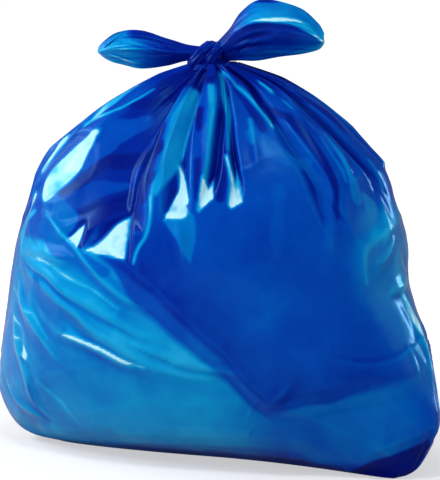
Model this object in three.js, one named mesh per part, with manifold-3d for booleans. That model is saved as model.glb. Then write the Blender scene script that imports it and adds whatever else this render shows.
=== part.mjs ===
// A full garbage bag of thin polyethylene film, its mouth gathered, knotted and spread into two ears.
// Millimetres, +Z up. X runs along the bottom seam, the bag's front faces -Y, and the origin is the
// middle of the bag's footprint on the ground.

import * as THREE from "three";
import { LoftGeometry } from "three/addons/geometries/LoftGeometry.js";
import { mergeVertices } from "three/addons/utils/BufferGeometryUtils.js";
import Module from "manifold-3d";

const FILM_BLUE = 0x0a50b4;

// Main sizes of the sack: along the bottom seam, front to back, and from the ground to the neck.
const SACK_WIDTH = 540;
const SACK_DEPTH = 290;
const SACK_HEIGHT = 439;

// The sack's form, as levels from the flat patch on the ground up to the neck. rise is a level's height
// above the one before, as a share of the height. left and right, as shares of the width, and front and
// back, as shares of the depth, are how far the film stands from the knot's axis. pinch draws a level to
// a point at the two ends of the bottom seam, and is 1 where the level is a plain oval. swing is how far
// the right-hand end is drawn forward, as a share of the width.
const GROUND = { rise: 0, left: 0.356, right: 0.43, front: 0.103, back: 0.214, pinch: 1, swing: 0.119 };
const HEEL = { rise: 0.036, left: 0.444, right: 0.476, front: 0.262, back: 0.31, pinch: 1.2, swing: 0.115 };
const SEAM = { rise: 0.096, left: 0.489, right: 0.509, front: 0.407, back: 0.414, pinch: 1.35, swing: 0.093 };
const HAUNCH = { rise: 0.107, left: 0.48, right: 0.49, front: 0.48, back: 0.46, pinch: 1.2, swing: 0.06 };
const LOIN = { rise: 0.103, left: 0.461, right: 0.457, front: 0.507, back: 0.476, pinch: 1.1, swing: 0.033 };
const BELLY = { rise: 0.114, left: 0.446, right: 0.42, front: 0.507, back: 0.472, pinch: 1, swing: 0.011 };
const RIB = { rise: 0.113, left: 0.427, right: 0.406, front: 0.483, back: 0.452, pinch: 0.95, swing: 0 };
const CHEST = { rise: 0.103, left: 0.401, right: 0.385, front: 0.438, back: 0.414, pinch: 0.95, swing: 0 };
const SHOULDER = { rise: 0.08, left: 0.372, right: 0.361, front: 0.379, back: 0.359, pinch: 1, swing: 0 };
const SLOPE = { rise: 0.077, left: 0.304, right: 0.306, front: 0.303, back: 0.29, pinch: 1, swing: 0 };
const COLLAR = { rise: 0.073, left: 0.223, right: 0.239, front: 0.214, back: 0.207, pinch: 1, swing: 0 };
const THROAT = { rise: 0.057, left: 0.139, right: 0.159, front: 0.128, back: 0.128, pinch: 1, swing: 0 };
const NECK = { rise: 0.041, left: 0.044, right: 0.052, front: 0.069, back: 0.069, pinch: 1, swing: 0 };
const LEVELS = [
  GROUND, HEEL, SEAM, HAUNCH, LOIN, BELLY, RIB, CHEST, SHOULDER, SLOPE, COLLAR, THROAT, NECK,
];
const RINGS_PER_LEVEL = 3;
const POINTS_PER_RING = 128;
const GROUND_FADE = 0.5;

// Gathers: valleys that the knot draws into the film, with two straight walls over a sloping shelf. foot and
// neck are a valley's angles where it runs out and at the neck, and left and right its half widths, in
// degrees round the bag from +X. low and high are where its shelf starts and ends, as shares of the height.
const GATHER_FADE = 60;
const GATHERS = [
  { foot: 253, neck: 247, left: 27, right: 8, low: 0.6, high: 0.68, depth: 20 },
  { foot: 240, neck: 239, left: 8, right: 3, low: 0.55, high: 0.62, depth: 8 },
  { foot: 256, neck: 254, left: 13, right: 3, low: 0.535, high: 0.66, depth: 15 },
  { foot: 271, neck: 265, left: 5, right: 4, low: 0.635, high: 0.74, depth: 12 },
  { foot: 280, neck: 284, left: 3, right: 2.5, low: 0.66, high: 0.75, depth: 10 },
  { foot: 289, neck: 286, left: 1.5, right: 2, low: 0.665, high: 0.79, depth: 9 },
  { foot: 322, neck: 302, left: 5, right: 5, low: 0.62, high: 0.72, depth: 8 },
  { foot: 349, neck: 328, left: 5, right: 5, low: 0.69, high: 0.78, depth: 6 },
  { foot: 8, neck: 0, left: 6, right: 6, low: 0.63, high: 0.71, depth: 7 },
  { foot: 27, neck: 24, left: 8, right: 8, low: 0.69, high: 0.77, depth: 11 },
  { foot: 46, neck: 45, left: 10, right: 6, low: 0.6, high: 0.69, depth: 13 },
  { foot: 64, neck: 66, left: 7, right: 7, low: 0.66, high: 0.75, depth: 10 },
  { foot: 82, neck: 84, left: 6, right: 10, low: 0.57, high: 0.68, depth: 13 },
  { foot: 101, neck: 101, left: 8, right: 8, low: 0.66, high: 0.75, depth: 11 },
  { foot: 122, neck: 119, left: 12, right: 6, low: 0.58, high: 0.69, depth: 15 },
  { foot: 143, neck: 141, left: 8, right: 8, low: 0.67, high: 0.75, depth: 10 },
  { foot: 163, neck: 162, left: 7, right: 11, low: 0.59, high: 0.68, depth: 12 },
  { foot: 184, neck: 182, left: 8, right: 8, low: 0.67, high: 0.76, depth: 9 },
  { foot: 199, neck: 198, left: 5, right: 5, low: 0.63, high: 0.7, depth: 7 },
];

// Folds: ridges pulled taut across the film along a path. Each point of a path is an angle round the bag in
// degrees and a share of the height. rise is how far a ridge stands proud, and reach its half width.
const FOLD_END = 0.08;
const FOLD_SHARPNESS = 1.5;
const FOLDS = [
  { path: [[209, 0.535], [246, 0.52]], rise: 5, reach: 13 },
  { path: [[211, 0.5], [244, 0.39], [267, 0.27], [279, 0.25]], rise: 6, reach: 17 },
  { path: [[210, 0.44], [226, 0.33], [235, 0.27]], rise: 6, reach: 15 },
  { path: [[235, 0.345], [264, 0.275]], rise: 5, reach: 11 },
  { path: [[219, 0.63], [238, 0.559], [251, 0.48], [264, 0.42]], rise: 4, reach: 9 },
  { path: [[209, 0.515], [232, 0.47], [262, 0.355]], rise: 5, reach: 13 },
  { path: [[207, 0.165], [226, 0.08]], rise: 4, reach: 11 },
  { path: [[213, 0.27], [224, 0.245]], rise: 3, reach: 9 },
  { path: [[207, 0.38], [222, 0.2], [228, 0.1]], rise: 4, reach: 13 },
  { path: [[207, 0.99], [208, 0.92], [209, 0.8], [206, 0.69]], rise: 4, reach: 9 },
  { path: [[271, 0.65], [274, 0.53]], rise: 4, reach: 12 },
  { path: [[256, 0.96], [260.5, 0.88], [262, 0.8], [263, 0.7], [261, 0.53]], rise: 2, reach: 12 },
  { path: [[273, 0.98], [277, 0.9], [278, 0.74]], rise: 3, reach: 6 },
  { path: [[296, 0.99], [288, 0.9], [287, 0.79]], rise: 3, reach: 6 },
  { path: [[322, 0.9], [331, 0.84], [332, 0.77], [335, 0.69]], rise: 2.5, reach: 9 },
  { path: [[3, 0.645], [333, 0.57], [329, 0.46]], rise: 5, reach: 15 },
  { path: [[352, 0.6], [336, 0.5]], rise: 4, reach: 12 },
  { path: [[0, 0.485], [343, 0.45]], rise: 4, reach: 11 },
  { path: [[355, 0.42], [356, 0.3], [353, 0.22]], rise: 5, reach: 13 },
  { path: [[300, 0.66], [302, 0.54]], rise: 2, reach: 14 },
  { path: [[321, 0.66], [319, 0.55]], rise: 2, reach: 14 },
  { path: [[268, 0.295], [288, 0.26]], rise: 3, reach: 11 },
  { path: [[250, 0.36], [276, 0.28]], rise: 3, reach: 9 },
  { path: [[20, 0.55], [66, 0.34]], rise: 6, reach: 17 },
  { path: [[24, 0.5], [50, 0.33], [74, 0.26]], rise: 5, reach: 15 },
  { path: [[70, 0.52], [112, 0.3]], rise: 6, reach: 17 },
  { path: [[164, 0.54], [122, 0.34]], rise: 6, reach: 17 },
  { path: [[172, 0.48], [140, 0.36], [118, 0.25]], rise: 5, reach: 15 },
  { path: [[178, 0.4], [152, 0.22]], rise: 5, reach: 14 },
  { path: [[30, 0.27], [80, 0.19]], rise: 5, reach: 14 },
  { path: [[150, 0.28], [104, 0.18]], rise: 5, reach: 14 },
  { path: [[10, 0.36], [34, 0.14]], rise: 5, reach: 13 },
];

// Flats, where the film is drawn straight between ridges: a middle, as an angle in degrees and a share of the
// height, and how deep the flat lies below the rounded sack there.
const FLAT_REACH = 95;
const FLATS = [
  { angle: 218, share: 0.745, depth: 6 },
  { angle: 338, share: 0.66, depth: 3 },
  { angle: 16, share: 0.68, depth: 4 },
  { angle: 74, share: 0.5, depth: 4 },
  { angle: 136, share: 0.52, depth: 4 },
  { angle: 104, share: 0.14, depth: 4 },
];

// Overhangs, where film sags over the film below it along a line of angles in degrees and shares of the
// height: the belly over the lower front, and the tucks over the right-hand corner and the base. fade is how
// many degrees an overhang takes to run out at either end.
const BELLY_LINE = [
  [244, 0.56], [256, 0.5], [266, 0.44], [276, 0.36], [284, 0.29], [289, 0.22], [293, 0.178], [300, 0.185],
  [312, 0.21], [330, 0.237], [351, 0.25],
];
const CORNER_LINE = [[316, 0.01], [324, 0.045], [334, 0.07], [348, 0.1], [362, 0.07]];
const BASE_LINE = [[212, 0.01], [226, 0.025], [258, 0.05], [286, 0.065], [300, 0.055], [308, 0.02]];
const OVERHANGS = [
  { line: BELLY_LINE, swell: 3, fade: 16 },
  { line: CORNER_LINE, swell: 4, fade: 10 },
  { line: BASE_LINE, swell: 3, fade: 10 },
];
const OVERHANG_REACH = 46;
const OVERHANG_STEEPNESS = 3;

// Knot: wraps of bunched film drawn tight round each other on top of the neck, the last one a collar under
// the other two. shift and lift place a wrap from the knot's middle, tilt leans it over, loop is the radius
// of its centre line, and strand the radius of the bunched film.
const KNOT_LIFT = 7;
const KNOT_SHIFT = -8;
const WRAPS = [
  { shift: -6, lift: 0, tilt: 42, loop: 13, strand: 8 },
  { shift: 9, lift: 0, tilt: 28, loop: 11, strand: 8 },
  { shift: 2, lift: -12, tilt: 80, loop: 15, strand: 7 },
];
const WRAP_SEGMENTS = 18;
const STRAND_SEGMENTS = 9;
const CORE_WIDTH = 40;
const CORE_DEPTH = 34;
const CORE_HEIGHT = 36;
const CORE_SEGMENTS = 16;
const CORE_RINGS = 10;

// Ears: the loose ends beyond the knot, as stations that run outwards. step is the distance from the
// station before, lift is how high the ear's middle stands above the knot's, and bow is how far the front is
// folded forward. crest is where the fold along the ear runs, from -1 at its lower rim to 1 at its upper.
const LEFT_EAR = [
  { step: 8, lift: 3, tall: 17, thick: 17, bow: 0, crest: 0 },
  { step: 19, lift: 4, tall: 19, thick: 16, bow: 1, crest: 0.05 },
  { step: 23, lift: 4, tall: 31, thick: 17, bow: 3, crest: 0.1 },
  { step: 30, lift: 6, tall: 43, thick: 19, bow: 6, crest: 0.15 },
  { step: 26, lift: 7, tall: 37, thick: 16, bow: 5, crest: 0.07 },
  { step: 17, lift: 5, tall: 22, thick: 11, bow: 3, crest: -0.08 },
  { step: 9, lift: 4, tall: 8, thick: 6, bow: 1, crest: -0.5 },
];
const RIGHT_EAR = [
  { step: 8, lift: 5, tall: 20, thick: 17, bow: 0, crest: 0.1 },
  { step: 16, lift: 14, tall: 36, thick: 18, bow: 4, crest: 0.17 },
  { step: 14, lift: 24, tall: 54, thick: 19, bow: 10, crest: 0.24 },
  { step: 20, lift: 31, tall: 67, thick: 20, bow: 16, crest: 0.3 },
  { step: 26, lift: 33, tall: 61, thick: 19, bow: 18, crest: 0.3 },
  { step: 26, lift: 31, tall: 49, thick: 15, bow: 14, crest: 0.3 },
  { step: 18, lift: 26, tall: 29, thick: 10, bow: 8, crest: 0.05 },
  { step: 7, lift: 24, tall: 11, thick: 6, bow: 3, crest: -0.6 },
];
const EAR_SECTION_POINTS = 16;
const EAR_RINGS_PER_STATION = 2;

const wasm = await Module();
wasm.setup();

const smooth = (t) => THREE.MathUtils.smoothstep(t, 0, 1);

// Shortest way round from one angle to another, in degrees.
function turn(from, to) {
  return THREE.MathUtils.euclideanModulo(to - from + 180, 360) - 180;
}

// A smooth curve through one measure of every row of a table, read by row number.
function through(rows, measure) {
  const last = rows.length - 1;
  const curve = new THREE.SplineCurve(rows.map((row, i) => new THREE.Vector2(i, row[measure])));
  return (place) => curve.getPoint(place / last).y;
}

// Every row of a table, with the sum of one measure up to that row as another measure.
function summed(rows, measure, total) {
  let sum = 0;
  return rows.map((row) => {
    sum += row[measure];
    return { ...row, [total]: sum };
  });
}

// Curves through every measure of a table, by name.
function curves(rows) {
  return Object.fromEntries(Object.keys(rows[0]).map((measure) => [measure, through(rows, measure)]));
}

const levels = summed(LEVELS, "rise", "height");
const sack = curves(levels);
const NECK_HEIGHT = SACK_HEIGHT * sack.height(LEVELS.length - 1);

// A line of points [x, y] read at x, and held level beyond its ends.
function readLine(points, x) {
  const next = points.findIndex((point) => point[0] > x);
  if (next < 0) {
    return points[points.length - 1][1];
  }
  const [fromX, fromY] = points[Math.max(next - 1, 0)];
  const [toX, toY] = points[next];
  return next === 0 ? toY : THREE.MathUtils.mapLinear(x, fromX, toX, fromY, toY);
}

// How far one degree runs round the sack, and the place in levels, by share of the height.
const GIRTH_PER_DEGREE = levels.map(({ height, left, right, front, back }) => {
  const radius = (SACK_WIDTH * (left + right) + SACK_DEPTH * (front + back)) / 4;
  return [height, THREE.MathUtils.degToRad(radius)];
});
const PLACES = levels.map(({ height }, i) => [height, i]);

// A point of the plain sack, with no gathers or folds, at an angle in degrees and a place in levels.
function plainPoint(angle, place) {
  const cos = Math.cos(THREE.MathUtils.degToRad(angle));
  const sin = Math.sin(THREE.MathUtils.degToRad(angle));
  const side = cos > 0 ? sack.right(place) : sack.left(place);
  const face = sin > 0 ? sack.back(place) : sack.front(place);
  const deep = SACK_DEPTH * face * Math.sign(sin) * Math.abs(sin) ** sack.pinch(place);
  return new THREE.Vector3(
    SACK_WIDTH * side * cos,
    deep - SACK_WIDTH * sack.swing(place) * Math.max(0, cos) ** 2,
    SACK_HEIGHT * sack.height(place),
  );
}

// The direction the plain sack faces there.
function outward(angle, place) {
  const turned = 0.5;
  const raised = 0.01;
  const around = plainPoint(angle + turned, place).sub(plainPoint(angle - turned, place));
  const up = plainPoint(angle, place + raised).sub(plainPoint(angle, place - raised));
  return around.cross(up).normalize();
}

// How far the gathers draw the film in.
function gatherDepth(angle, share) {
  let depth = 0;
  for (const { foot, neck, left, right, low, high, depth: deep } of GATHERS) {
    const middle = foot + turn(foot, neck) * THREE.MathUtils.clamp((share - low) / (1 - low), 0, 1);
    const across = turn(middle, angle);
    const wall = 1 - (across < 0 ? -across / left : across / right);
    const shelf = (share - low) / (high - low);
    depth = Math.max(depth, deep * Math.min(wall, shelf, 1));
  }
  return depth;
}

// A spot on the film, as an angle and a share of the height, laid out flat round an angle.
function flatSpot(start, [angle, share]) {
  return new THREE.Vector2(turn(start, angle) * readLine(GIRTH_PER_DEGREE, share), share * SACK_HEIGHT);
}

// How far a spot on the film lies from a path over it, and what share of the path it has passed.
function fromPath(angle, share, path) {
  const start = path[0][0];
  const spot = flatSpot(start, [angle, share]);
  const marks = path.map((mark) => flatSpot(start, mark));
  let length = 0;
  let passed = 0;
  let off = Infinity;
  for (let i = 1; i < marks.length; i += 1) {
    const run = marks[i].clone().sub(marks[i - 1]);
    const way = spot.clone().sub(marks[i - 1]);
    const ahead = THREE.MathUtils.clamp(way.dot(run) / run.lengthSq(), 0, 1);
    const gap = way.addScaledVector(run, -ahead).length();
    if (gap < off) {
      off = gap;
      passed = length + ahead * run.length();
    }
    length += run.length();
  }
  return [off, passed / length];
}

// How far the taut folds lift the film.
function foldRise(angle, share) {
  let lift = 0;
  for (const { path, rise, reach } of FOLDS) {
    const [off, along] = fromPath(angle, share, path);
    if (off < reach) {
      const ends = Math.sin(Math.PI * THREE.MathUtils.lerp(FOLD_END, 1 - FOLD_END, along));
      lift = Math.max(lift, rise * ends * (1 - off / reach) ** FOLD_SHARPNESS);
    }
  }
  return lift;
}

// How far in the film lies where it is drawn flat; a point and its facing are the plain sack's.
function flatCut(point, facing) {
  let cut = 0;
  for (const { angle, share, depth } of FLATS) {
    const place = readLine(PLACES, share);
    const middle = plainPoint(angle, place);
    if (middle.distanceTo(point) < FLAT_REACH) {
      const way = outward(angle, place);
      const level = middle.sub(point).dot(way) - depth;
      cut = Math.min(cut, level / Math.max(facing.dot(way), 0.5));
    }
  }
  return cut;
}

// How far the film stands out above the overhangs and in below them.
function overhangSwell(angle, share) {
  let out = 0;
  for (const { line, swell, fade } of OVERHANGS) {
    const first = line[0][0];
    const last = line[line.length - 1][0];
    const at = angle < last - 360 ? angle + 360 : angle;
    const off = ((share - readLine(line, at)) * SACK_HEIGHT) / OVERHANG_REACH;
    const full = smooth(Math.min(at - first, last - at) / fade);
    out += swell * full * THREE.MathUtils.clamp(off * OVERHANG_STEEPNESS, -1, 1) * Math.exp(-off * off);
  }
  return out;
}

// One point of the sack, at an angle in degrees and a place counted in levels from the ground.
function sackPoint(angle, place) {
  const point = plainPoint(angle, place);
  if (place === 0) {
    return point;
  }
  const facing = outward(angle, place);
  const share = point.z / SACK_HEIGHT;
  const drawn = Math.min(1, Math.hypot(point.x, point.y) / GATHER_FADE);
  const out = foldRise(angle, share) + overhangSwell(angle, share) + flatCut(point, facing);
  const push = out - gatherDepth(angle, share) * drawn;
  point.addScaledVector(facing, push * smooth(place / GROUND_FADE));
  point.z = Math.max(point.z, 0);
  return point;
}

function sackGeometry() {
  const rings = (LEVELS.length - 1) * RINGS_PER_LEVEL;
  const sections = [];
  for (let ring = 0; ring <= rings; ring += 1) {
    const section = [];
    for (let i = 0; i < POINTS_PER_RING; i += 1) {
      section.push(sackPoint((360 * i) / POINTS_PER_RING, ring / RINGS_PER_LEVEL));
    }
    sections.push(section);
  }
  return new LoftGeometry(sections, { capStart: true, capEnd: true });
}

// A wrap of the knot: a ring of bunched film round the X axis, leaning to one side.
function wrapGeometry({ shift, lift, tilt, loop, strand }) {
  const ring = new THREE.TorusGeometry(loop, strand, STRAND_SEGMENTS, WRAP_SEGMENTS);
  return ring.rotateY(THREE.MathUtils.degToRad(90 + tilt)).translate(shift, 0, lift);
}

// The film packed tight in the middle of the knot, down to the neck.
function coreGeometry() {
  const core = new THREE.SphereGeometry(0.5, CORE_SEGMENTS, CORE_RINGS);
  return core.scale(CORE_WIDTH, CORE_DEPTH, CORE_HEIGHT);
}

// An ear's ring at a place counted in stations: a flattened loop of film, folded along its crest and bowed
// forward in the middle.
function earSection(ear, place, side) {
  const crest = ear.crest(place);
  const section = [];
  for (let i = 0; i < EAR_SECTION_POINTS; i += 1) {
    const angle = (2 * Math.PI * i) / EAR_SECTION_POINTS;
    const up = Math.sin(angle);
    const roof = up > crest ? (1 - up) / (1 - crest) : (1 + up) / (1 + crest);
    const face = Math.sign(Math.cos(angle)) * roof;
    section.push(
      new THREE.Vector3(
        side * ear.out(place),
        side * face * (ear.thick(place) / 2) - ear.bow(place) * (1 - up * up),
        ear.lift(place) + up * (ear.tall(place) / 2),
      ),
    );
  }
  return section;
}

function earGeometry(stations, side) {
  const ear = curves(summed(stations, "step", "out"));
  const rings = (stations.length - 1) * EAR_RINGS_PER_STATION;
  const sections = [];
  for (let ring = 0; ring <= rings; ring += 1) {
    sections.push(earSection(ear, ring / EAR_RINGS_PER_STATION, side));
  }
  return new LoftGeometry(sections, { capStart: true, capEnd: true });
}

// A closed geometry as a solid that can be joined to others.
function solidOf(geometry) {
  const bare = new THREE.BufferGeometry()
    .setAttribute("position", geometry.getAttribute("position"))
    .setIndex(geometry.index);
  const merged = mergeVertices(bare, 1e-3);
  return new wasm.Manifold(
    new wasm.Mesh({
      numProp: 3,
      vertProperties: merged.attributes.position.array,
      triVerts: new Uint32Array(merged.index.array),
    }),
  );
}

function geometryOf(solid) {
  const mesh = solid.getMesh();
  return new THREE.BufferGeometry()
    .setAttribute("position", new THREE.BufferAttribute(mesh.vertProperties, 3))
    .setIndex(new THREE.BufferAttribute(mesh.triVerts, 1));
}

// The bag is one film, so sack, knot and ears are joined into one solid.
function bagGeometry() {
  let bag = solidOf(sackGeometry());
  const top = [
    ...WRAPS.map(wrapGeometry),
    coreGeometry(),
    earGeometry(LEFT_EAR, -1),
    earGeometry(RIGHT_EAR, 1),
  ];
  for (const geometry of top) {
    bag = bag.add(solidOf(geometry.translate(KNOT_SHIFT, 0, NECK_HEIGHT + KNOT_LIFT)));
  }
  const joined = geometryOf(bag);
  joined.computeBoundingBox();
  const middle = joined.boundingBox.getCenter(new THREE.Vector3());
  joined.translate(-middle.x, -middle.y, 0);
  joined.computeVertexNormals();
  return joined;
}

const film = new THREE.MeshStandardMaterial({ color: FILM_BLUE, roughness: 0.25, metalness: 0 });
const bag = new THREE.Mesh(bagGeometry(), film);
bag.name = "garbage_bag";

const part = new THREE.Group();
part.add(bag);

export default part;
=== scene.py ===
import math

import bpy
import numpy as np
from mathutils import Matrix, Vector


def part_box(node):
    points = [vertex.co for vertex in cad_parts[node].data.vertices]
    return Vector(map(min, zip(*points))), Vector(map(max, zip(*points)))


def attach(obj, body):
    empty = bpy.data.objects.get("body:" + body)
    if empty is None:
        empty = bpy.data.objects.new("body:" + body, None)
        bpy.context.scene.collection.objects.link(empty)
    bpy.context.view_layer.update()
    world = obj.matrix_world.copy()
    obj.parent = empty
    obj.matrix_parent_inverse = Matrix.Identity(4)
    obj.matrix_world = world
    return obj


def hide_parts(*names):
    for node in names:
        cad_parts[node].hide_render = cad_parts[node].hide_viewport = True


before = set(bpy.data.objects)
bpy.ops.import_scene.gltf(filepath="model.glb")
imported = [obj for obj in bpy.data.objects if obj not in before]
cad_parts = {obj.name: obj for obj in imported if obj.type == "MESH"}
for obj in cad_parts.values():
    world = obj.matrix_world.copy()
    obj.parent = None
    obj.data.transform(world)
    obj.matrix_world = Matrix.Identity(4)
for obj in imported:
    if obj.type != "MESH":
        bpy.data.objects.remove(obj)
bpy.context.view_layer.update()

MM = 0.001
SEED = 7
TINY = 1e-12

# The sack's main sizes and its form, level by level from the ground to the neck, as in the part's source.
# A level's rise is a share of the height, its left, right and swing are shares of the width and its front
# and back of the depth. Swing is how far its right end lies forward, and pinch how much its ends taper.
SACK_WIDTH = 540 * MM
SACK_DEPTH = 290 * MM
SACK_HEIGHT = 439 * MM
LEVEL_MEASURES = ("rise", "left", "right", "front", "back", "pinch", "swing")
LEVELS = (
    (0, 0.356, 0.43, 0.103, 0.214, 1, 0.119),
    (0.036, 0.444, 0.476, 0.262, 0.31, 1.2, 0.115),
    (0.096, 0.489, 0.509, 0.407, 0.414, 1.35, 0.093),
    (0.107, 0.48, 0.49, 0.48, 0.46, 1.2, 0.06),
    (0.103, 0.461, 0.457, 0.507, 0.476, 1.1, 0.033),
    (0.114, 0.446, 0.42, 0.507, 0.472, 1, 0.011),
    (0.113, 0.427, 0.406, 0.483, 0.452, 0.95, 0),
    (0.103, 0.401, 0.385, 0.438, 0.414, 0.95, 0),
    (0.08, 0.372, 0.361, 0.379, 0.359, 1, 0),
    (0.077, 0.304, 0.306, 0.303, 0.29, 1, 0),
    (0.073, 0.223, 0.239, 0.214, 0.207, 1, 0),
    (0.057, 0.139, 0.159, 0.128, 0.128, 1, 0),
    (0.041, 0.044, 0.052, 0.069, 0.069, 1, 0),
)
FILM_COLUMNS = 440
FILM_ROWS = 210

# The columns of the film lie closer together on its front, where its gathers are sharpest.
FRONT_ANGLE = 275
FRONT_CROWDING = 0.35

# Gathers and folds waver a little, in degrees and as a share of the height.
WAVER_ROUND = 0.6
WAVER_UP = 0.004
WAVER_FINEST = 26

# The film that the simulation settles is a coarser net. It is cut larger than the form it is drawn over,
# held at the neck and the ground and gripped a little elsewhere, and moves no further than the cap.
NET_COLUMNS = 240
NET_ROWS = 104
SLACK_ROUND = ((0, 0.03), (0.3, 0.05), (0.6, 0.06), (0.8, 0.12), (1, 0.2))
SLACK_UP = 0.02
SETTLE_FRAMES = 20
SETTLE_CAP = 8 * MM
GRIP = 0.03
HELD_ABOVE = 0.97
HELD_BELOW = 0.02

# Gathers drawn in by the knot: angle at the foot and at the neck and widths to the left and right in degrees,
# the share of the height at the foot and where the shelf ends, the depth in mm, and how far the foot's edge
# climbs per degree. They fade near the bag's axis. The film is calmer in them, and on the sloping shelves of
# some a highlight is painted into the film's tone.
GATHER_FADE = 60 * MM
GATHER_FULL = 8 * MM
HIGHLIGHT_SHELVES = slice(1, 6)
CALM_HOLLOW = 0.9
SHELF_SIDE = 0.15
SHELF_FOOT = 0.06
GATHERS = (
    (253, 247, 27, 8, 0.6, 0.68, 20, 0),
    (240, 239, 8, 3, 0.55, 0.62, 8, 0),
    (256, 254, 13, 3, 0.535, 0.66, 15, -0.0009),
    (271, 265, 5, 4, 0.644, 0.74, 12, 0.003),
    (280, 284, 3, 2.5, 0.672, 0.755, 10, 0.008),
    (289, 286, 2, 2.5, 0.672, 0.79, 9, 0.004),
    (322, 302, 5, 5, 0.62, 0.72, 8, 0),
    (349, 328, 5, 5, 0.69, 0.78, 6, 0),
    (8, 0, 6, 6, 0.63, 0.71, 7, 0),
    (27, 24, 8, 8, 0.69, 0.77, 11, 0),
    (46, 45, 10, 6, 0.6, 0.69, 13, 0),
    (64, 66, 7, 7, 0.66, 0.75, 10, 0),
    (82, 84, 6, 10, 0.57, 0.68, 13, 0),
    (101, 101, 8, 8, 0.66, 0.75, 11, 0),
    (122, 119, 12, 6, 0.58, 0.69, 15, 0),
    (143, 141, 8, 8, 0.67, 0.75, 10, 0),
    (163, 162, 7, 11, 0.59, 0.68, 12, 0),
    (184, 182, 8, 8, 0.67, 0.76, 9, 0),
    (199, 198, 5, 5, 0.63, 0.7, 7, 0),
)

# Fine pleats that the knot draws into the film round the neck.
PLEATS = 64
PLEAT_SHIFT = (-0.3, 0.3)
PLEAT_SPREAD = (0.35, 0.6)
PLEAT_FADE = 0.14
PLEAT_FOOT = (0.84, 0.97)
PLEAT_DEPTH = (1 * MM, 3 * MM)

# Taut folds: the points they pass as an angle and a share of the height, then the rise and half width in mm.
FOLD_END = 0.08
FOLD_SHARPNESS = 1.5
# Painted light above a fold and painted shade below it, where the fold laps over the film: where it starts
# and ends off the fold, and the rise in mm at which it is full.
LAP_START = 8 * MM
LAP_REACH = 30 * MM
LAP_FULL_RISE = 5
FOLDS = (
    (((209, 0.535), (246, 0.52)), 5, 13),
    (((211, 0.5), (244, 0.39), (267, 0.27), (279, 0.25)), 6, 17),
    (((210, 0.44), (226, 0.33), (235, 0.27)), 6, 15),
    (((235, 0.345), (264, 0.275)), 5, 11),
    (((219, 0.63), (238, 0.559), (251, 0.48), (264, 0.42)), 4, 9),
    (((209, 0.515), (232, 0.47), (262, 0.355)), 5, 13),
    (((207, 0.165), (226, 0.08)), 4, 11),
    (((213, 0.27), (224, 0.245)), 3, 9),
    (((207, 0.38), (222, 0.2), (228, 0.1)), 4, 13),
    (((207, 0.99), (208, 0.92), (209, 0.8), (206, 0.69)), 4, 9),
    (((271, 0.65), (274, 0.53)), 4, 12),
    (((256, 0.96), (260.5, 0.88), (262, 0.8), (263, 0.7), (261, 0.53)), 2, 12),
    (((273, 0.98), (277, 0.9), (278, 0.74)), 3, 6),
    (((296, 0.99), (288, 0.9), (287, 0.79)), 3, 6),
    (((304, 0.97), (305.5, 0.9), (307, 0.83)), 2.5, 5),
    (((295, 0.92), (297, 0.77)), 1.5, 8),
    (((327, 0.97), (325, 0.88)), 2, 6),
    (((322, 0.9), (331, 0.84), (332, 0.77), (335, 0.69)), 2.5, 9),
    (((3, 0.645), (333, 0.57), (329, 0.46)), 3.5, 18),
    (((352, 0.6), (336, 0.5)), 3, 14),
    (((0, 0.485), (343, 0.45)), 3, 12),
    (((355, 0.42), (356, 0.3), (353, 0.22)), 5, 13),
    (((292, 0.18), (300, 0.25)), 2, 9),
    (((300, 0.66), (302, 0.54)), 2, 14),
    (((321, 0.66), (319, 0.55)), 2, 14),
    (((268, 0.295), (288, 0.26)), 3, 11),
    (((250, 0.36), (276, 0.28)), 3, 9),
    (((20, 0.55), (66, 0.34)), 6, 17),
    (((24, 0.5), (50, 0.33), (74, 0.26)), 5, 15),
    (((70, 0.52), (112, 0.3)), 6, 17),
    (((164, 0.54), (122, 0.34)), 6, 17),
    (((172, 0.48), (140, 0.36), (118, 0.25)), 5, 15),
    (((178, 0.4), (152, 0.22)), 5, 14),
    (((30, 0.27), (80, 0.19)), 5, 14),
    (((150, 0.28), (104, 0.18)), 5, 14),
    (((10, 0.36), (34, 0.14)), 5, 13),
)
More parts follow.
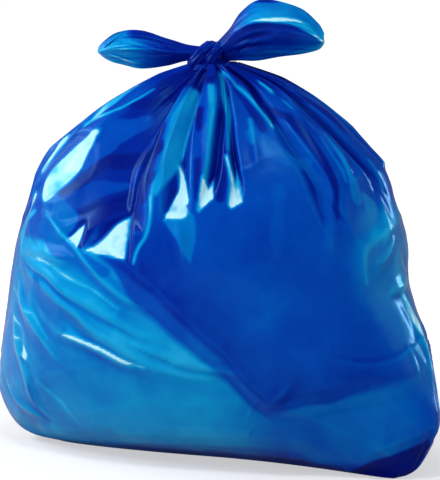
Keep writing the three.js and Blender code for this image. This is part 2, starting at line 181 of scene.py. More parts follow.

# Painted light and shade laid into the film's tone: painted highlights and reflections, pale, and painted
# shade, deep. Each row has the points it passes as an angle and a share of the height, its half widths in mm
# along that line and how pale it is. A row lies over the rows before it.
TINT_EDGE = 4 * MM
PAINTED_LIGHT_AND_SHADE = (
    # Panels and bands of painted light and shade, most of them of a middle blue.
    (((240, 0.866), (232, 0.834), (232, 0.771)), (10, 18, 13), 0.46),
    (((234, 0.679), (243, 0.705), (250, 0.725)), (13, 11, 4), 0.4),
    (((224, 0.636), (232, 0.615)), (18, 15), 0.6),
    (((221, 0.592), (233, 0.55), (250, 0.505)), (7, 11, 6), 0.58),
    (((333, 0.73), (334, 0.69)), (5, 7), 0.68),
    (((308, 0.864), (314, 0.795), (318, 0.732), (319, 0.67)), (4.5, 6, 7, 7), 0.42),
    (((316, 0.757), (320, 0.71), (320, 0.649), (319, 0.585)), (4.5, 4.5, 4.5, 4.5), 0.52),
    (((302, 0.72), (302, 0.588)), (5.6, 5.6), 0.5),
    (((296, 0.84), (306, 0.79), (316, 0.776)), (6.7, 9, 4.5), 0.54),
    (((256, 0.85), (258, 0.753), (259, 0.682)), (6, 7, 4), 0.07),
    (((223, 0.469), (228, 0.402), (238, 0.35)), (4.5, 6.7, 3.4), 0.68),
    (((292, 0.173), (308, 0.213), (326, 0.261)), (2.2, 6.7, 4.5), 0.36),
    (((224, 0.182), (226, 0.08)), (2.2, 4.5), 0.64),
    # Painted shade, deep blue.
    (((227, 0.685), (235, 0.729), (240, 0.774), (258, 0.796)), (5, 8, 9, 9), 0.02),
    (((242, 0.557), (243, 0.615), (250, 0.675), (260, 0.733)), (3, 8, 9, 7), 0.07),
    (((272, 0.894), (274, 0.859)), (4.5, 2.2), 0.04),
    (((232, 0.968), (262, 0.96), (274, 0.969)), (6.7, 10, 5.6), 0.05),
    (((228, 0.905), (231, 0.913), (238, 0.921)), (3.4, 6.7, 6.7), 0.05),
    (((292, 0.973), (297, 0.912), (301, 0.853)), (2.2, 3.4, 3.4), 0.16),
    (
        ((305, 0.913), (317, 0.88), (320, 0.836), (322, 0.769), (324, 0.709), (323, 0.639)),
        (3, 4.5, 5, 4.5, 1),
        0.09,
    ),
    (((326, 0.943), (343, 0.915), (349, 0.877), (349, 0.839)), (2, 5, 6, 1), 0.2),
    (((284, 0.896), (283, 0.77), (284, 0.691)), (5.6, 5.6, 3.4), 0.08),
    (((275, 0.781), (277, 0.688)), (3.4, 3.4), 0.12),
    (((258, 0.631), (258, 0.54)), (2.4, 3.5), 0.2),
    # Painted highlights and reflections, most of them pale.
    (((264, 0.938), (264.5, 0.874), (265.5, 0.8), (265, 0.75), (263, 0.7)), (3.4, 9, 9, 7, 4), 0.8),
    (((262, 0.689), (262, 0.629), (262, 0.586), (260, 0.533)), (2.2, 1.8, 1.8, 1.8), 0.93),
    (((268, 0.768), (272, 0.686)), (1.7, 4.5, 5.5), 1),
    (((278, 0.744), (279, 0.703), (277, 0.658)), (2.2, 5.6, 1.1), 0.97),
    (((276, 0.951), (278.5, 0.892), (278.5, 0.85), (278.5, 0.745)), (3, 2, 1.4, 2), 0.86),
    (((285, 0.788), (287, 0.73), (287.5, 0.678)), (2, 2.6, 3.2), 1),
    (((286, 0.984), (284, 0.943), (286, 0.893), (286, 0.805)), (2.2, 3.4, 2, 1.6), 0.84),
    (((272, 0.633), (274, 0.602), (276, 0.536)), (13.4, 9, 1.1), 0.68),
    (((238, 0.336), (251, 0.314), (264, 0.275)), (1.2, 2.8, 1.2), 1),
    (((296, 0.875), (296, 0.826)), (2.2, 2.2), 0.74),
    (((290, 0.99), (294, 0.955), (301, 0.91), (306, 0.857)), (1.2, 1.6, 1.6, 1.8), 0.95),
    (((315, 0.955), (317, 0.935)), (1.7, 2.2), 0.95),
    (((320, 0.914), (322, 0.896)), (1.2, 1.2), 0.84),
    (((207, 0.66), (206, 0.602), (205, 0.565), (208, 0.532)), (4, 7, 9, 4), 0.93),
    (((353, 0.446), (355, 0.411), (357, 0.376), (0, 0.336), (358, 0.28)), (6, 9, 12, 12, 6), 0.96),
    (((1, 0.655), (342, 0.61), (333, 0.554), (332, 0.482)), (3.4, 3.4, 3.4, 2.2), 0.78),
    (((355, 0.576), (334, 0.503)), (2.2, 2.2), 0.66),
    (((6, 0.485), (344, 0.451)), (5.6, 2.2), 0.85),
    (((15, 0.672), (2, 0.639)), (4.5, 4.5), 0.85),
    (((207, 0.936), (211, 0.89), (213, 0.85)), (2, 6, 4), 0.93),
    (((227, 0.942), (226, 0.92), (223, 0.888), (212, 0.836)), (1.2, 1.7, 2.8, 3.4), 0.92),
    (((194, 0.845), (207, 0.867)), (3.4, 3.4), 0.8),
    (((224, 0.825), (222.5, 0.755), (218, 0.696)), (5, 20, 20), 0.98),
    (((206, 0.79), (206, 0.726)), (8, 6), 0.97),
    (((332, 0.847), (332, 0.8), (332, 0.75), (333, 0.725)), (1.4, 2, 2.6, 2.6), 0.72),
    (((328, 0.831), (328, 0.788), (330, 0.729)), (1.4, 2, 2), 0.64),
    (((350, 0.775), (351, 0.711)), (2.4, 2.4), 0.68),
    (((337, 0.7), (341, 0.66), (343, 0.62)), (2, 9, 6), 0.7),
    (((16, 0.683), (12, 0.654)), (5, 5), 0.95),
    (((16, 0.847), (16, 0.76)), (6, 6), 0.64),
    (((208, 0.522), (232, 0.501), (247, 0.452), (255, 0.42)), (2.2, 2.8, 2.2, 1.2), 0.92),
    (((222, 0.62), (239, 0.56), (250, 0.485)), (1.2, 2.2, 1.2), 0.88),
    (((204, 0.417), (224, 0.367), (232, 0.311)), (1.2, 2.2, 1.2), 0.94),
    (((228, 0.197), (236, 0.145), (240, 0.088)), (1.2, 3.4, 2.2), 0.88),
    (((220, 0.28), (222, 0.255)), (1.2, 4.5), 0.97),
    (((210, 0.344), (216, 0.329)), (3.4, 1.7), 0.95),
    (((212, 0.3), (218, 0.293)), (2.2, 1.2), 0.93),
    (((206, 0.157), (212, 0.162)), (1.2, 1.2), 0.93),
    (((204, 0.578), (212, 0.624)), (6.7, 3.4), 0.86),
    (((228, 0.05), (244, 0.06)), (10, 8), 0.82),
    (((268, 0.65), (272, 0.656)), (4, 6), 1),
    (((291.5, 0.75), (291.8, 0.69)), (2, 2.4), 0.42),
)

# Flats, where the film is drawn straight between two ridges: angle, share of the height and depth cut.
FLAT_REACH = 95 * MM
FLAT_FULL = 2 * MM
LEAST_FACING = 0.5
FLATS = (
    (218, 0.745, 6 * MM),
    (338, 0.66, 3 * MM),
    (16, 0.68, 4 * MM),
    (74, 0.5, 4 * MM),
    (136, 0.52, 4 * MM),
    (104, 0.14, 4 * MM),
)

# Overhangs, where film sags over the film below it: a line of angles and shares of the height, how far the
# film stands out above it, and over how many degrees it fades at its ends.
BELLY_OVERHANG = (
    ((244, 0.56), (256, 0.5), (266, 0.44), (276, 0.36), (284, 0.29), (289, 0.22), (293, 0.178), (300, 0.185),
     (312, 0.21), (330, 0.237), (351, 0.25)),
    3 * MM,
    16,
)
CORNER_TUCK = (((316, 0.01), (324, 0.045), (334, 0.07), (348, 0.1), (362, 0.07)), 4 * MM, 10)
BASE_TUCK = (((212, 0.01), (226, 0.025), (258, 0.05), (286, 0.065), (300, 0.055), (308, 0.02)), 3 * MM, 10)
OVERHANG_REACH = 46 * MM
OVERHANG_STEEPNESS = 3

# Small flat panels that taut film falls into over lumpy contents.
PANELS = 170
PANEL_REACH = 80 * MM
PANEL_SHARE = 0.5
PANEL_CAP = 3.5 * MM
PANEL_LOWEST_ROW = 3
PANEL_HIGHEST = 0.92

# Small creases: how many, the ranges of their place, length, height and half width, how far they lean in
# degrees at the neck and how much more at the ground, and the shares of the height where they end.
CREASES = 200
CREASE_SHARES = (0.03, 0.93)
CREASE_LENGTH = (20 * MM, 110 * MM)
CREASE_RISE = (0.6 * MM, 2 * MM)
CREASE_REACH = (6 * MM, 13 * MM)
CREASE_LEAN = 12
CREASE_LEAN_BELOW = 75
CREASE_TOP = (0.95, 0.87)
CREASE_SHARPNESS = 1.3

# Knot: each wrap's place along X and Z from the knot's middle, lean in degrees, loop and strand radius.
KNOT_LIFT = 7 * MM
KNOT_SHIFT = -8 * MM
WRAPS = (
    (-6 * MM, 0, 42, 13 * MM, 8 * MM),
    (9 * MM, 0, 28, 11 * MM, 8 * MM),
    (2 * MM, -12 * MM, 80, 15 * MM, 7 * MM),
)

# Ears, as stations outwards from the knot: step, lift, tall, thick and bow in mm, and where the crest runs,
# from -1 at the lower rim to 1 at the upper.
EAR_MEASURES = ("step", "lift", "tall", "thick", "bow", "crest")
LEFT_EAR = (
    (8, 3, 17, 17, 0, 0),
    (19, 4, 19, 16, 1, 0.05),
    (23, 4, 31, 17, 3, 0.1),
    (30, 6, 43, 19, 6, 0.15),
    (26, 7, 37, 16, 5, 0.07),
    (17, 5, 22, 11, 3, -0.08),
    (9, 4, 8, 6, 1, -0.5),
)
RIGHT_EAR = (
    (8, 5, 20, 17, 0, 0.1),
    (16, 14, 36, 18, 4, 0.17),
    (14, 24, 54, 19, 10, 0.24),
    (20, 31, 67, 20, 16, 0.3),
    (26, 33, 61, 19, 18, 0.3),
    (26, 31, 49, 15, 14, 0.3),
    (18, 26, 29, 10, 8, 0.05),
    (7, 24, 11, 6, 3, -0.6),
)
# How far out an ear turns pale, how pale it is above its crest, in a band along it, below it, below it far
# out, at its lower rim and at its tip, and the place, height and half sizes of a spot of painted shade. The
# deep tone near the knot is painted shade, the paler tone further out painted light, and the band along the
# crest a painted highlight.
LEFT_EAR_LOOK = (0.25, 0.56, 0.12, 0.62, 0, 0, 0.15, (0.5, 0.9, 0.09, 0.3))
RIGHT_EAR_LOOK = (0.12, 0.56, 0.2, 0.06, 0.3, 0.3, 0.15, (0.48, 1, 0.07, 0.1))

# The ears' points, creases and ruffles. Heights are in mm, the rest are shares of an ear's length and height.
EAR_RINGS = 110
EAR_POINTS = 120
EAR_CREASES = 26
EAR_CREASE_RISE = 3
EAR_CREASE_START = (0, 0.8)
EAR_CREASE_RUN = (0.15, 0.6)
EAR_CREASE_PLACE = (-0.95, 0.95)
EAR_CREASE_LEAN = 0.35
EAR_CREASE_REACH = (0.06, 0.16)
EAR_RUFFLE = 1.2
EAR_RUFFLE_WAVES = ((17, 1, 1), (31, 2, 0.6))

# A soft step is named by where it starts and where it is full, in degrees, shares of the height or metres.

# Forms fade in over the first half level above the ground, where the film is drawn in under the bag.
GROUND_FADE = 0.5

# Slow unevenness over the film: how many waves it is made of, and how much they are damped.
CLOUD_WAVES = 14
CLOUD_RISE = 2
CLOUD_DAMPING = 4

# The side of the sack along which its rows are spaced evenly, and the steps it is measured in.
SPACING_ANGLE = 250.0
SPACING_STEPS = 2000

# Where the film is slack: at the bag's two ends, apart from the front's right half, at its foot and its neck.
SLACK_ENDS = (0.45, 0.85)
TAUT_FRONT = 0.85
TAUT_FRONT_START = (290, 302)
TAUT_FRONT_END = (346, 336)
SLACK_FOOT = 0.35
SLACK_FOOT_SHARES = (0.14, 0.06)
SLACK_NECK_SHARES = (0.66, 0.78)
LEAST_SLACK = 0.12

# The film's tone, from 0 for deep blue to 1 for pale: that of plain film, the palest that film gets by lying
# on the contents, and what each kind of place adds or takes. Much of that is painted light and shade: painted
# highlights on shelves, ridges and folds, painted light and shade across laps and creases, and painted shade
# in hollows, under the belly's edge, at the neck and where the film turns under.
PLAIN_TONE = 0.46
PALEST_BACKED = 0.86
BACKED_AND_LIT_TONE = 0.34
SHELF_HIGHLIGHT_TONE = 0.55
RIDGE_LIGHT_AND_SHADE = 0.14
FOLD_HIGHLIGHT_TONE = 0.06
LAP_LIGHT_AND_SHADE = 0.09
CLOUD_TONE = 0.05
HOLLOW_SHADE_TONE = -0.33
SAG_SHADE_TONE = -0.19
BUNCHED_SHADE_TONE = -0.25
BASE_TUCK_SHADE = -0.12
FOOT_SHADE = -0.3
CORNER_TUCK_SHADE = -0.75

# Where the film lies on the contents and reads paler, with light painted in there too: the lower left, the
# lower right and the right end.
LOWER_LEFT = 0.95
LOWER_LEFT_START = (190, 204)
LOWER_LEFT_FULLEST = (236, 256)
LOWER_LEFT_END = (304, 280)
LOWER_RIGHT = 0.4
LOWER_RIGHT_START = (280, 300)
RIGHT_END_ANGLE = 356
RIGHT_END_REACH = (35.2, 13.2)
RIGHT_END_TOP = (0.7, 0.64)
RIGHT_END_FOOT = (0.14, 0.24)
RIGHT_END_LOW = 0.4
RIGHT_END_HIGH = 0.72
RIGHT_END_RISE = (0.36, 0.46)

# A border of painted shade under the middle of the belly's edge, and how softly the paler backed film starts
# below it.
BORDER_WIDTH = 20 * MM
BORDER_START = (252, 262)
BORDER_END = (298, 288)
BORDER_BLUR = 0.4
BACKED_BLUR = 9 * MM

# Where shade is painted on film that sags over the belly's edge, turns under the bag or is bunched at the
# neck, and how high a fold rises for its full painted highlight.
SAG_START = 9 * MM
SAG_REACH = 60 * MM
TUCK_BLUR = 7 * MM
TUCK_START = (226, 256)
FOOT_SHARES = (0.045, 0.015)
BUNCHED_SHARES = (0.92, 0.97)
FOLD_FULL = 4 * MM

# How far a ridge stands out of its surroundings, so many points to each side, to count as sharp.
RIDGE_SPAN = 2
SACK_RIDGE = 0.8 * MM
EAR_RIDGE = 0.6 * MM
KNOT_RIDGE = 0.35 * MM

# The ears' tone, with painted light and shade: where it changes along an ear, across its crest, where its
# painted highlight band runs and at its lower rim, and the spot of painted shade.
EAR_TONE = 0.12
EAR_RIDGE_LIGHT_AND_SHADE = 0.24
EAR_FADE = 0.35
EAR_FAR = (0.6, 0.9)
EAR_TIP = (0.85, 1)
EAR_CREST = (-0.06, 0.06)
EAR_RIM = (-0.45, -0.85)
EAR_BAND = 0.18
EAR_BAND_REACH = 0.16
EAR_SPOT_SHADE = 0.15
EAR_SPOT_EDGE = (1.5, 0.5)

# The knot's strand: its points along and across it, its pleats and swells as shares of its radius and how
# many run round it, and its tone: painted shade in its folds, painted light on its upper turns and painted
# highlights on its ridges.
WRAP_RINGS = 132
WRAP_POINTS = 72
STRAND_CORE = 0.88
STRAND_PLEAT = 0.16
STRAND_PLEATS = 4
FINE_STRAND_PLEAT = 0.08
FINE_STRAND_PLEATS = 5.5
FINE_STRAND_TWIST = 2
STRAND_SWELL = 0.08
STRAND_SWELLS = 3
KNOT_TONE = 0.06
KNOT_TOP_LIGHT = 0.4
KNOT_TOP = (6 * MM, 19 * MM)
KNOT_RIDGE_LIGHT_AND_SHADE = 0.16


def smooth(t):
    """A soft step from 0 to 1 as t runs from 0 to 1."""
    t = np.clip(t, 0, 1)
    return t * t * (3 - 2 * t)


def rising(value, start, full):
    """A soft step from 0 at start to 1 at full; start may be the higher of the two."""
    return smooth((value - start) / (full - start))


def turn(start, end):
    """Shortest way round from one angle to another, in degrees."""
    return (end - start + 180) % 360 - 180


def around(count):
    """Angles evenly spaced round a circle, in radians."""
    return np.arange(count) * 2 * math.pi / count


def through(values, place):
    """A smooth curve through values, read by place along them."""
    values = np.asarray(values, float)
    last = len(values) - 1
    place = np.clip(place, 0, last)
    at = np.minimum(place.astype(int), last - 1)
    t = (place - at).reshape(place.shape + (1,) * (values.ndim - 1))
    before = values[np.maximum(at - 1, 0)]
    start = values[at]
    end = values[at + 1]
    after = values[np.minimum(at + 2, last)]
    run_in = (end - before) / 2
    run_out = (after - start) / 2
    return (
        (2 * start - 2 * end + run_in + run_out) * t**3
        + (-3 * start + 3 * end - 2 * run_in - run_out) * t**2
        + run_in * t
        + start
    )


def table(rows, measures):
    """Rows of measures as one list for each measure."""
    return {name: [row[i] for row in rows] for i, name in enumerate(measures)}


SACK = table(LEVELS, LEVEL_MEASURES)
SACK["height"] = np.cumsum(SACK["rise"])
NECK_HEIGHT = SACK_HEIGHT * SACK["height"][-1]


def cloudy(angle, share, seed, finest=8):
    """A slow, seeded unevenness over the film, from about -1 to 1."""
    rng = np.random.default_rng(seed)
    value = np.zeros_like(angle)
    for _ in range(CLOUD_WAVES):
        waves = rng.integers(1, finest)
        rise = rng.uniform(-CLOUD_RISE, CLOUD_RISE) * finest
        start = rng.uniform(0, 2 * math.pi)
        value += np.cos(np.radians(angle) * waves + share * rise + start)
    return value / CLOUD_DAMPING


def wavered(angle, share):
    """Places shifted a little, so that what is drawn by them doesn't run ruler-straight."""
    return (
        angle + WAVER_ROUND * cloudy(angle, share, SEED + 5, WAVER_FINEST),
        share + WAVER_UP * cloudy(angle, share, SEED + 6, WAVER_FINEST),
    )


def girth_per_degree(share):
    """How far one degree runs round the sack at a share of its height."""
    wide = SACK_WIDTH * (np.array(SACK["left"]) + SACK["right"]) / 2
    deep = SACK_DEPTH * (np.array(SACK["front"]) + SACK["back"]) / 2
    return np.interp(share, SACK["height"], (wide + deep) / 2) * math.pi / 180


def level_ring(angle, place):
    """Points of the plain sack, with no gathers or folds."""
    at = {name: through(values, place) for name, values in SACK.items()}
    cos = np.cos(np.radians(angle))
    sin = np.sin(np.radians(angle))
    x = SACK_WIDTH * np.where(cos > 0, at["right"], at["left"]) * cos
    y = SACK_DEPTH * np.where(sin > 0, at["back"], at["front"]) * np.sign(sin) * np.abs(sin) ** at["pinch"]
    y = y - SACK_WIDTH * at["swing"] * np.maximum(0, cos) ** 2
    z = SACK_HEIGHT * at["height"]
    return np.stack((x, y, z), -1)


def outward(points):
    """Unit normals of a grid of points whose columns run round a closed ring."""
    round_way = np.roll(points, -1, 1) - np.roll(points, 1, 1)
    up_way = np.gradient(points, axis=0)
    normal = np.cross(round_way, up_way)
    return normal / np.maximum(np.linalg.norm(normal, axis=-1, keepdims=True), TINY)


def even_places(rows):
    """Places from the ground to the neck that lie evenly along the film."""
    place = np.linspace(0, len(LEVELS) - 1, SPACING_STEPS)
    side = level_ring(np.full_like(place, SPACING_ANGLE), place)
    length = np.concatenate(((0,), np.cumsum(np.linalg.norm(np.diff(side, axis=0), axis=1))))
    return np.interp(np.linspace(0, length[-1], rows), length, place)


def film_grid(rows, columns):
    """Angles and places of the film's points, crowded on the front."""
    turns = around(columns)
    angle = FRONT_ANGLE + np.degrees(turns - FRONT_CROWDING * np.sin(turns))
    return np.meshgrid(angle % 360, even_places(rows))


def gather_sides(angle, share, gather):
    """How far the film lies in from a gather's nearer side and up from its foot, both 0 at the edge."""
    foot_angle, neck_angle, left, right, foot, head, _, climb = gather
    middle = foot_angle + turn(foot_angle, neck_angle) * np.clip((share - foot) / (1 - foot), 0, 1)
    across = turn(middle, angle)
    wall = 1 - np.where(across < 0, -across / left, across / right)
    shelf = (share - foot - climb * np.clip(across, -left, right)) / (head - foot)
    return wall, shelf


def gather_depth(angle, share):
    """How far the gathers draw the film in: two straight walls over a flat, sloping shelf."""
    depth = np.zeros_like(angle)
    for gather in GATHERS:
        *_, deep, _ = gather
        wall, shelf = gather_sides(angle, share, gather)
        depth = np.maximum(depth, deep * MM * np.clip(np.minimum(wall, shelf), 0, 1))
    return depth


def shelf_highlight(angle, share):
    """1 on the sloping shelves at the feet of the narrow gathers, where a highlight is painted into the tone.
    """
    thin = np.zeros_like(angle)
    for gather in GATHERS[HIGHLIGHT_SHELVES]:
        wall, shelf = gather_sides(angle, share, gather)
        thin = np.maximum(thin, smooth((wall - shelf) / SHELF_SIDE) * smooth(shelf / SHELF_FOOT))
    return thin


def hollow_share(angle, share):
    """1 where the film hangs in a gather and 0 on the ridges and below."""
    return smooth(gather_depth(angle, share) / GATHER_FULL)


def pleat_depth(angle, share):
    """How far the fine pleats draw the film in."""
    rng = np.random.default_rng(SEED)
    depth = np.zeros_like(angle)
    for pleat in range(PLEATS):
        middle = (pleat + rng.uniform(*PLEAT_SHIFT)) * 360 / PLEATS
        spread = rng.uniform(*PLEAT_SPREAD) * 360 / PLEATS
        foot = rng.uniform(*PLEAT_FOOT)
        deep = rng.uniform(*PLEAT_DEPTH)
        across = np.clip(np.abs(turn(middle, angle)) / spread, 0, 1)
        depth = np.maximum(depth, deep * (1 - across) * smooth((share - foot) / PLEAT_FADE))
    return depth


def from_path(angle, share, path):
    """How far the film lies from a path over it, how far along that path, and on which side of it."""
    marks = np.array(path, float)
    x = turn(marks[0, 0], angle) * girth_per_degree(share)
    y = share * SACK_HEIGHT
    path_x = turn(marks[0, 0], marks[:, 0]) * girth_per_degree(marks[:, 1])
    path_y = marks[:, 1] * SACK_HEIGHT
    runs = np.hypot(np.diff(path_x), np.diff(path_y))
    passed = np.concatenate(((0,), np.cumsum(runs)))
    off = np.full_like(x, np.inf)
    along = np.zeros_like(x)
    side = np.zeros_like(x)
    for i, run in enumerate(runs):
        way = np.array((path_x[i + 1] - path_x[i], path_y[i + 1] - path_y[i])) / run
        ahead = np.clip((x - path_x[i]) * way[0] + (y - path_y[i]) * way[1], 0, run)
        gap = np.hypot(x - path_x[i] - ahead * way[0], y - path_y[i] - ahead * way[1])
        nearer = gap < off
        off = np.where(nearer, gap, off)
        along = np.where(nearer, (passed[i] + ahead) / passed[-1], along)
        side = np.where(nearer, np.sign((y - path_y[i]) * way[0] - (x - path_x[i]) * way[1]), side)
    return off, along, side


def fold_ends(along):
    """How full a fold is along its length: 1 in the middle and low at both ends."""
    return np.sin(np.pi * (FOLD_END + (1 - 2 * FOLD_END) * along))


def fold_rise(angle, share):
    """How far the taut folds lift the film."""
    rise = np.zeros_like(angle)
    for path, proud, reach in FOLDS:
        off, along, _ = from_path(angle, share, path)
        near = np.clip(1 - off / (reach * MM), 0, 1) ** FOLD_SHARPNESS
        rise = np.maximum(rise, proud * MM * fold_ends(along) * near)
    return rise


def fold_shade(angle, share):
    """Painted light on a fold's upper side and painted shade on its lower side, where the fold laps over the
    film.
    """
    shade = np.zeros_like(angle)
    for path, proud, _ in FOLDS:
        off, along, side = from_path(angle, share, path)
        rightward = np.sign(turn(path[0][0], path[-1][0]))
        lapped = np.clip(1 - off / LAP_REACH, 0, 1) * smooth(off / LAP_START) * side * rightward
        shade += fold_ends(along) * lapped * np.minimum(1, proud / LAP_FULL_RISE)
    return np.clip(shade, -1, 1)


def slackness(angle, share):
    """How loose the film is: slack at the bag's two ends, its foot and its neck, taut over the belly."""
    ends = rising(np.abs(np.cos(np.radians(angle))), *SLACK_ENDS)
    ends *= 1 - TAUT_FRONT * rising(angle, *TAUT_FRONT_START) * rising(angle, *TAUT_FRONT_END)
    foot = SLACK_FOOT * rising(share, *SLACK_FOOT_SHARES)
    neck = rising(share, *SLACK_NECK_SHARES)
    return np.maximum(np.maximum(ends, LEAST_SLACK), np.maximum(foot, neck))


def crease_rise(angle, place, share):
    """Small creases, along the gathers near the neck and any way lower down."""
    rng = np.random.default_rng(SEED + 1)
    rise = np.zeros_like(angle)
    for _ in range(CREASES):
        at_angle = rng.uniform(0, 360)
        at_share = rng.uniform(*CREASE_SHARES)
        length = rng.uniform(*CREASE_LENGTH)
        reach = rng.uniform(*CREASE_REACH)
        proud = rng.uniform(*CREASE_RISE) * rng.choice((-1, 1))
        lean = math.radians(rng.normal(0, CREASE_LEAN + CREASE_LEAN_BELOW * (1 - at_share)))
        half_up = math.cos(lean) * length / 2 / SACK_HEIGHT
        half_round = math.sin(lean) * length / 2 / girth_per_degree(at_share)
        path = ((at_angle - half_round, at_share - half_up), (at_angle + half_round, at_share + half_up))
        off, along, _ = from_path(angle, share, path)
        rise += proud * np.sin(np.pi * along) * np.clip(1 - off / reach, 0, 1) ** CREASE_SHARPNESS
    plain = level_ring(angle, place)
    flat = smooth(-flat_cut(angle, plain, outward(plain)) / FLAT_FULL)
    calm = (1 - CALM_HOLLOW * hollow_share(angle, share)) * (1 - CALM_HOLLOW * flat)
    return rise * calm * slackness(angle, share) * rising(share, *CREASE_TOP)


def overhang_offset(angle, share, line, fade):
    """How high the film lies over an overhang's line, and how full the overhang is there."""
    angles, shares = zip(*line)
    angle = np.where(angle < angles[-1] - 360, angle + 360, angle)
    over = (share - np.interp(angle, angles, shares)) * SACK_HEIGHT
    inside = np.minimum(angle - angles[0], angles[-1] - angle)
    return over, smooth(inside / fade)


def overhang_swell(angle, share):
    """How far the film stands out above the overhangs and in below them."""
    swell = np.zeros_like(angle)
    for line, proud, fade in (BELLY_OVERHANG, CORNER_TUCK, BASE_TUCK):
        over, full = overhang_offset(angle, share, line, fade)
        off = over / OVERHANG_REACH
        swell += proud * full * np.clip(off * OVERHANG_STEEPNESS, -1, 1) * np.exp(-off * off)
    return swell


def panel_lift(plain, facing):
    """How far the film stands out from a smooth form where it lies in flat panels."""
    rng = np.random.default_rng(SEED + 2)
    rows, columns = plain.shape[:2]
    lift = np.full((rows, columns), PANEL_CAP)
    for _ in range(PANELS):
        row = rng.integers(PANEL_LOWEST_ROW, int(rows * PANEL_HIGHEST))
        column = rng.integers(columns)
        spot = plain[row, column]
        way = facing[row, column]
        near = np.linalg.norm(plain - spot, axis=-1)
        level = ((spot - plain) @ way) / np.maximum(facing @ way, LEAST_FACING)
        level = np.maximum(level, 0) + np.maximum(near - PANEL_REACH, 0)
        lift = np.minimum(lift, level)
    return lift * PANEL_SHARE


def flat_cut(angle, plain, facing):
    """How far in the film lies where it is drawn flat."""
    lift = np.zeros_like(angle)
    for at_angle, at_share, deep in FLATS:
        row = np.argmin(np.abs(plain[:, 0, 2] / SACK_HEIGHT - at_share))
        column = np.argmin(np.abs(turn(at_angle, angle[0])))
        spot = plain[row, column]
        way = facing[row, column]
        level = ((spot - plain) @ way - deep) / np.maximum(facing @ way, LEAST_FACING)
        near = np.linalg.norm(plain - spot, axis=-1) < FLAT_REACH
        lift = np.where(near, np.minimum(lift, level), lift)
    return lift


def drawn_film(angle, place):
    """Film drawn over the contents and up to the knot, before it buckles."""
    plain = level_ring(angle, place)
    facing = outward(plain)
    share = plain[..., 2] / SACK_HEIGHT
    drawn = np.minimum(1, np.hypot(plain[..., 0], plain[..., 1]) / GATHER_FADE)
    near_angle, near_share = wavered(angle, share)
    push = fold_rise(near_angle, near_share) + overhang_swell(angle, share)
    push -= gather_depth(near_angle, near_share) * drawn
    cut = flat_cut(angle, plain, facing)
    calm = (1 - CALM_HOLLOW * hollow_share(angle, share)) * smooth(1 + cut / FLAT_FULL)
    push += panel_lift(plain, facing) * calm + cut
    return plain + facing * (push * smooth(place / GROUND_FADE))[..., None]


def film_cut(points):
    """The film's own shape before it buckles: the form made larger by the slack in it."""
    share = points[..., 2] / SACK_HEIGHT
    slack = 1 + np.interp(share, *zip(*SLACK_ROUND))
    return np.stack((points[..., 0] * slack, points[..., 1] * slack, points[..., 2] * (1 + SLACK_UP)), -1)


def film_mesh(name, points, tone, joined=False):
    """A mesh from a grid of points whose columns run round a closed ring. Each square is ordered so that it
    is split along the diagonal with the more even tone, and folds come out without notches."""
    rows, columns = points.shape[:2]
    corner = np.arange(rows * columns).reshape(rows, columns)
    if joined:
        corner = np.concatenate((corner, corner[:1]))
    right = np.roll(corner, -1, 1)
    squares = np.stack((corner[:-1], right[:-1], right[1:], corner[1:]), -1).reshape(-1, 4)
    shade = tone.ravel()[squares]
    other = np.abs(shade[:, 1] - shade[:, 3]) < np.abs(shade[:, 0] - shade[:, 2])
    faces = np.where(other[:, None], np.roll(squares, -1, 1), squares).tolist()
    if not joined:
        faces += [corner[0][::-1].tolist(), corner[-1].tolist()]
    mesh = bpy.data.meshes.new(name)
    mesh.from_pydata(points.reshape(-1, 3).tolist(), [], faces)
    mesh.shade_smooth()
    return mesh


def place_piece(name, data):
    """Puts a mesh, lamp or camera into the scene."""
    piece = bpy.data.objects.new(name, data)
    bpy.context.scene.collection.objects.link(piece)
    return piece


def evened(grid):
    """A grid with each value drawn toward its neighbours, so that nothing as small as its mesh is left."""
    grid = (np.roll(grid, 1, 1) + 2 * grid + np.roll(grid, -1, 1)) / 4
    edged = np.concatenate((grid[:1], grid, grid[-1:]))
    return (edged[:-2] + 2 * grid + edged[2:]) / 4


def settled_moves(points):
    """How far each point of slack film moves as it buckles over its contents, simulated as cloth."""
    net = place_piece("film_net", film_mesh("film_net", points, points[..., 2]))
    net.shape_key_add(name="drawn over")
    cut_key = net.shape_key_add(name="cut")
    cut_key.data.foreach_set("co", film_cut(points).astype(np.float32).ravel())
    share = points[..., 2].ravel() / SACK_HEIGHT
    fixed = (share > HELD_ABOVE) | (share < HELD_BELOW)
    held = net.vertex_groups.new(name="held")
    held.add(np.flatnonzero(fixed).tolist(), 1.0, "REPLACE")
    held.add(np.flatnonzero(~fixed).tolist(), GRIP, "REPLACE")
    cloth = net.modifiers.new("settle", "CLOTH")
    film = cloth.settings
    film.quality = 4
    film.mass = 0.05
    film.tension_stiffness = 20
    film.compression_stiffness = 20
    film.shear_stiffness = 8
    film.bending_stiffness = 0.05
    film.use_pressure = True
    film.uniform_pressure_force = 1.0
    film.effector_weights.gravity = 0
    film.vertex_group_mass = "held"
    film.rest_shape_key = cut_key
    cloth.collision_settings.use_collision = False
    cloth.point_cache.frame_end = SETTLE_FRAMES
    for number in range(1, SETTLE_FRAMES + 1):
        bpy.context.scene.frame_set(number)
    settled = net.evaluated_get(bpy.context.evaluated_depsgraph_get())
    end = np.empty(points.size, np.float32)
    settled.data.vertices.foreach_get("co", end)
    bpy.context.scene.frame_set(1)
    mesh = net.data
    bpy.data.objects.remove(net)
    bpy.data.meshes.remove(mesh)
    move = end.reshape(points.shape) - points
    far = np.maximum(np.linalg.norm(move, axis=-1, keepdims=True), TINY)
    return evened(move * SETTLE_CAP * np.tanh(far / SETTLE_CAP) / far)


